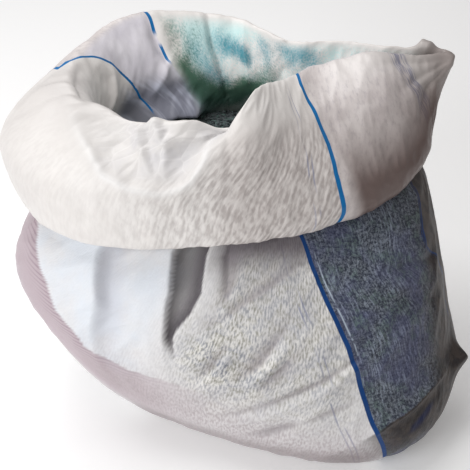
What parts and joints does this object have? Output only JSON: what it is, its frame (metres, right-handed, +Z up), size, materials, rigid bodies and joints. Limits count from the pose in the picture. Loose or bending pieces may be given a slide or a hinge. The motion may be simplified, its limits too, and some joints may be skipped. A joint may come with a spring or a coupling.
{
  "type": "part-filled cement sack",
  "caption": "Woven plastic sack part-filled with dark cement, standing with its mouth rolled outward, with clear window strips edged in blue.",
  "frame": {"origin": "on the floor under the middle of the sack's bounding box", "axes": "+X towards the pinched side fold of the mouth, +Y away from the plain front, +Z up"},
  "size_m": [0.4356, 0.3394, 0.3209],
  "materials": {
    "woven_cloth": "woven flat polypropylene tape, satin, with two clear strips edged by blue warp lines",
    "cement": "loose dark granular fill, matt"
  },
  "bodies": {
    "root": {"sack": "woven_cloth", "cement_fill": "cement"}
  },
  "joints": []
}
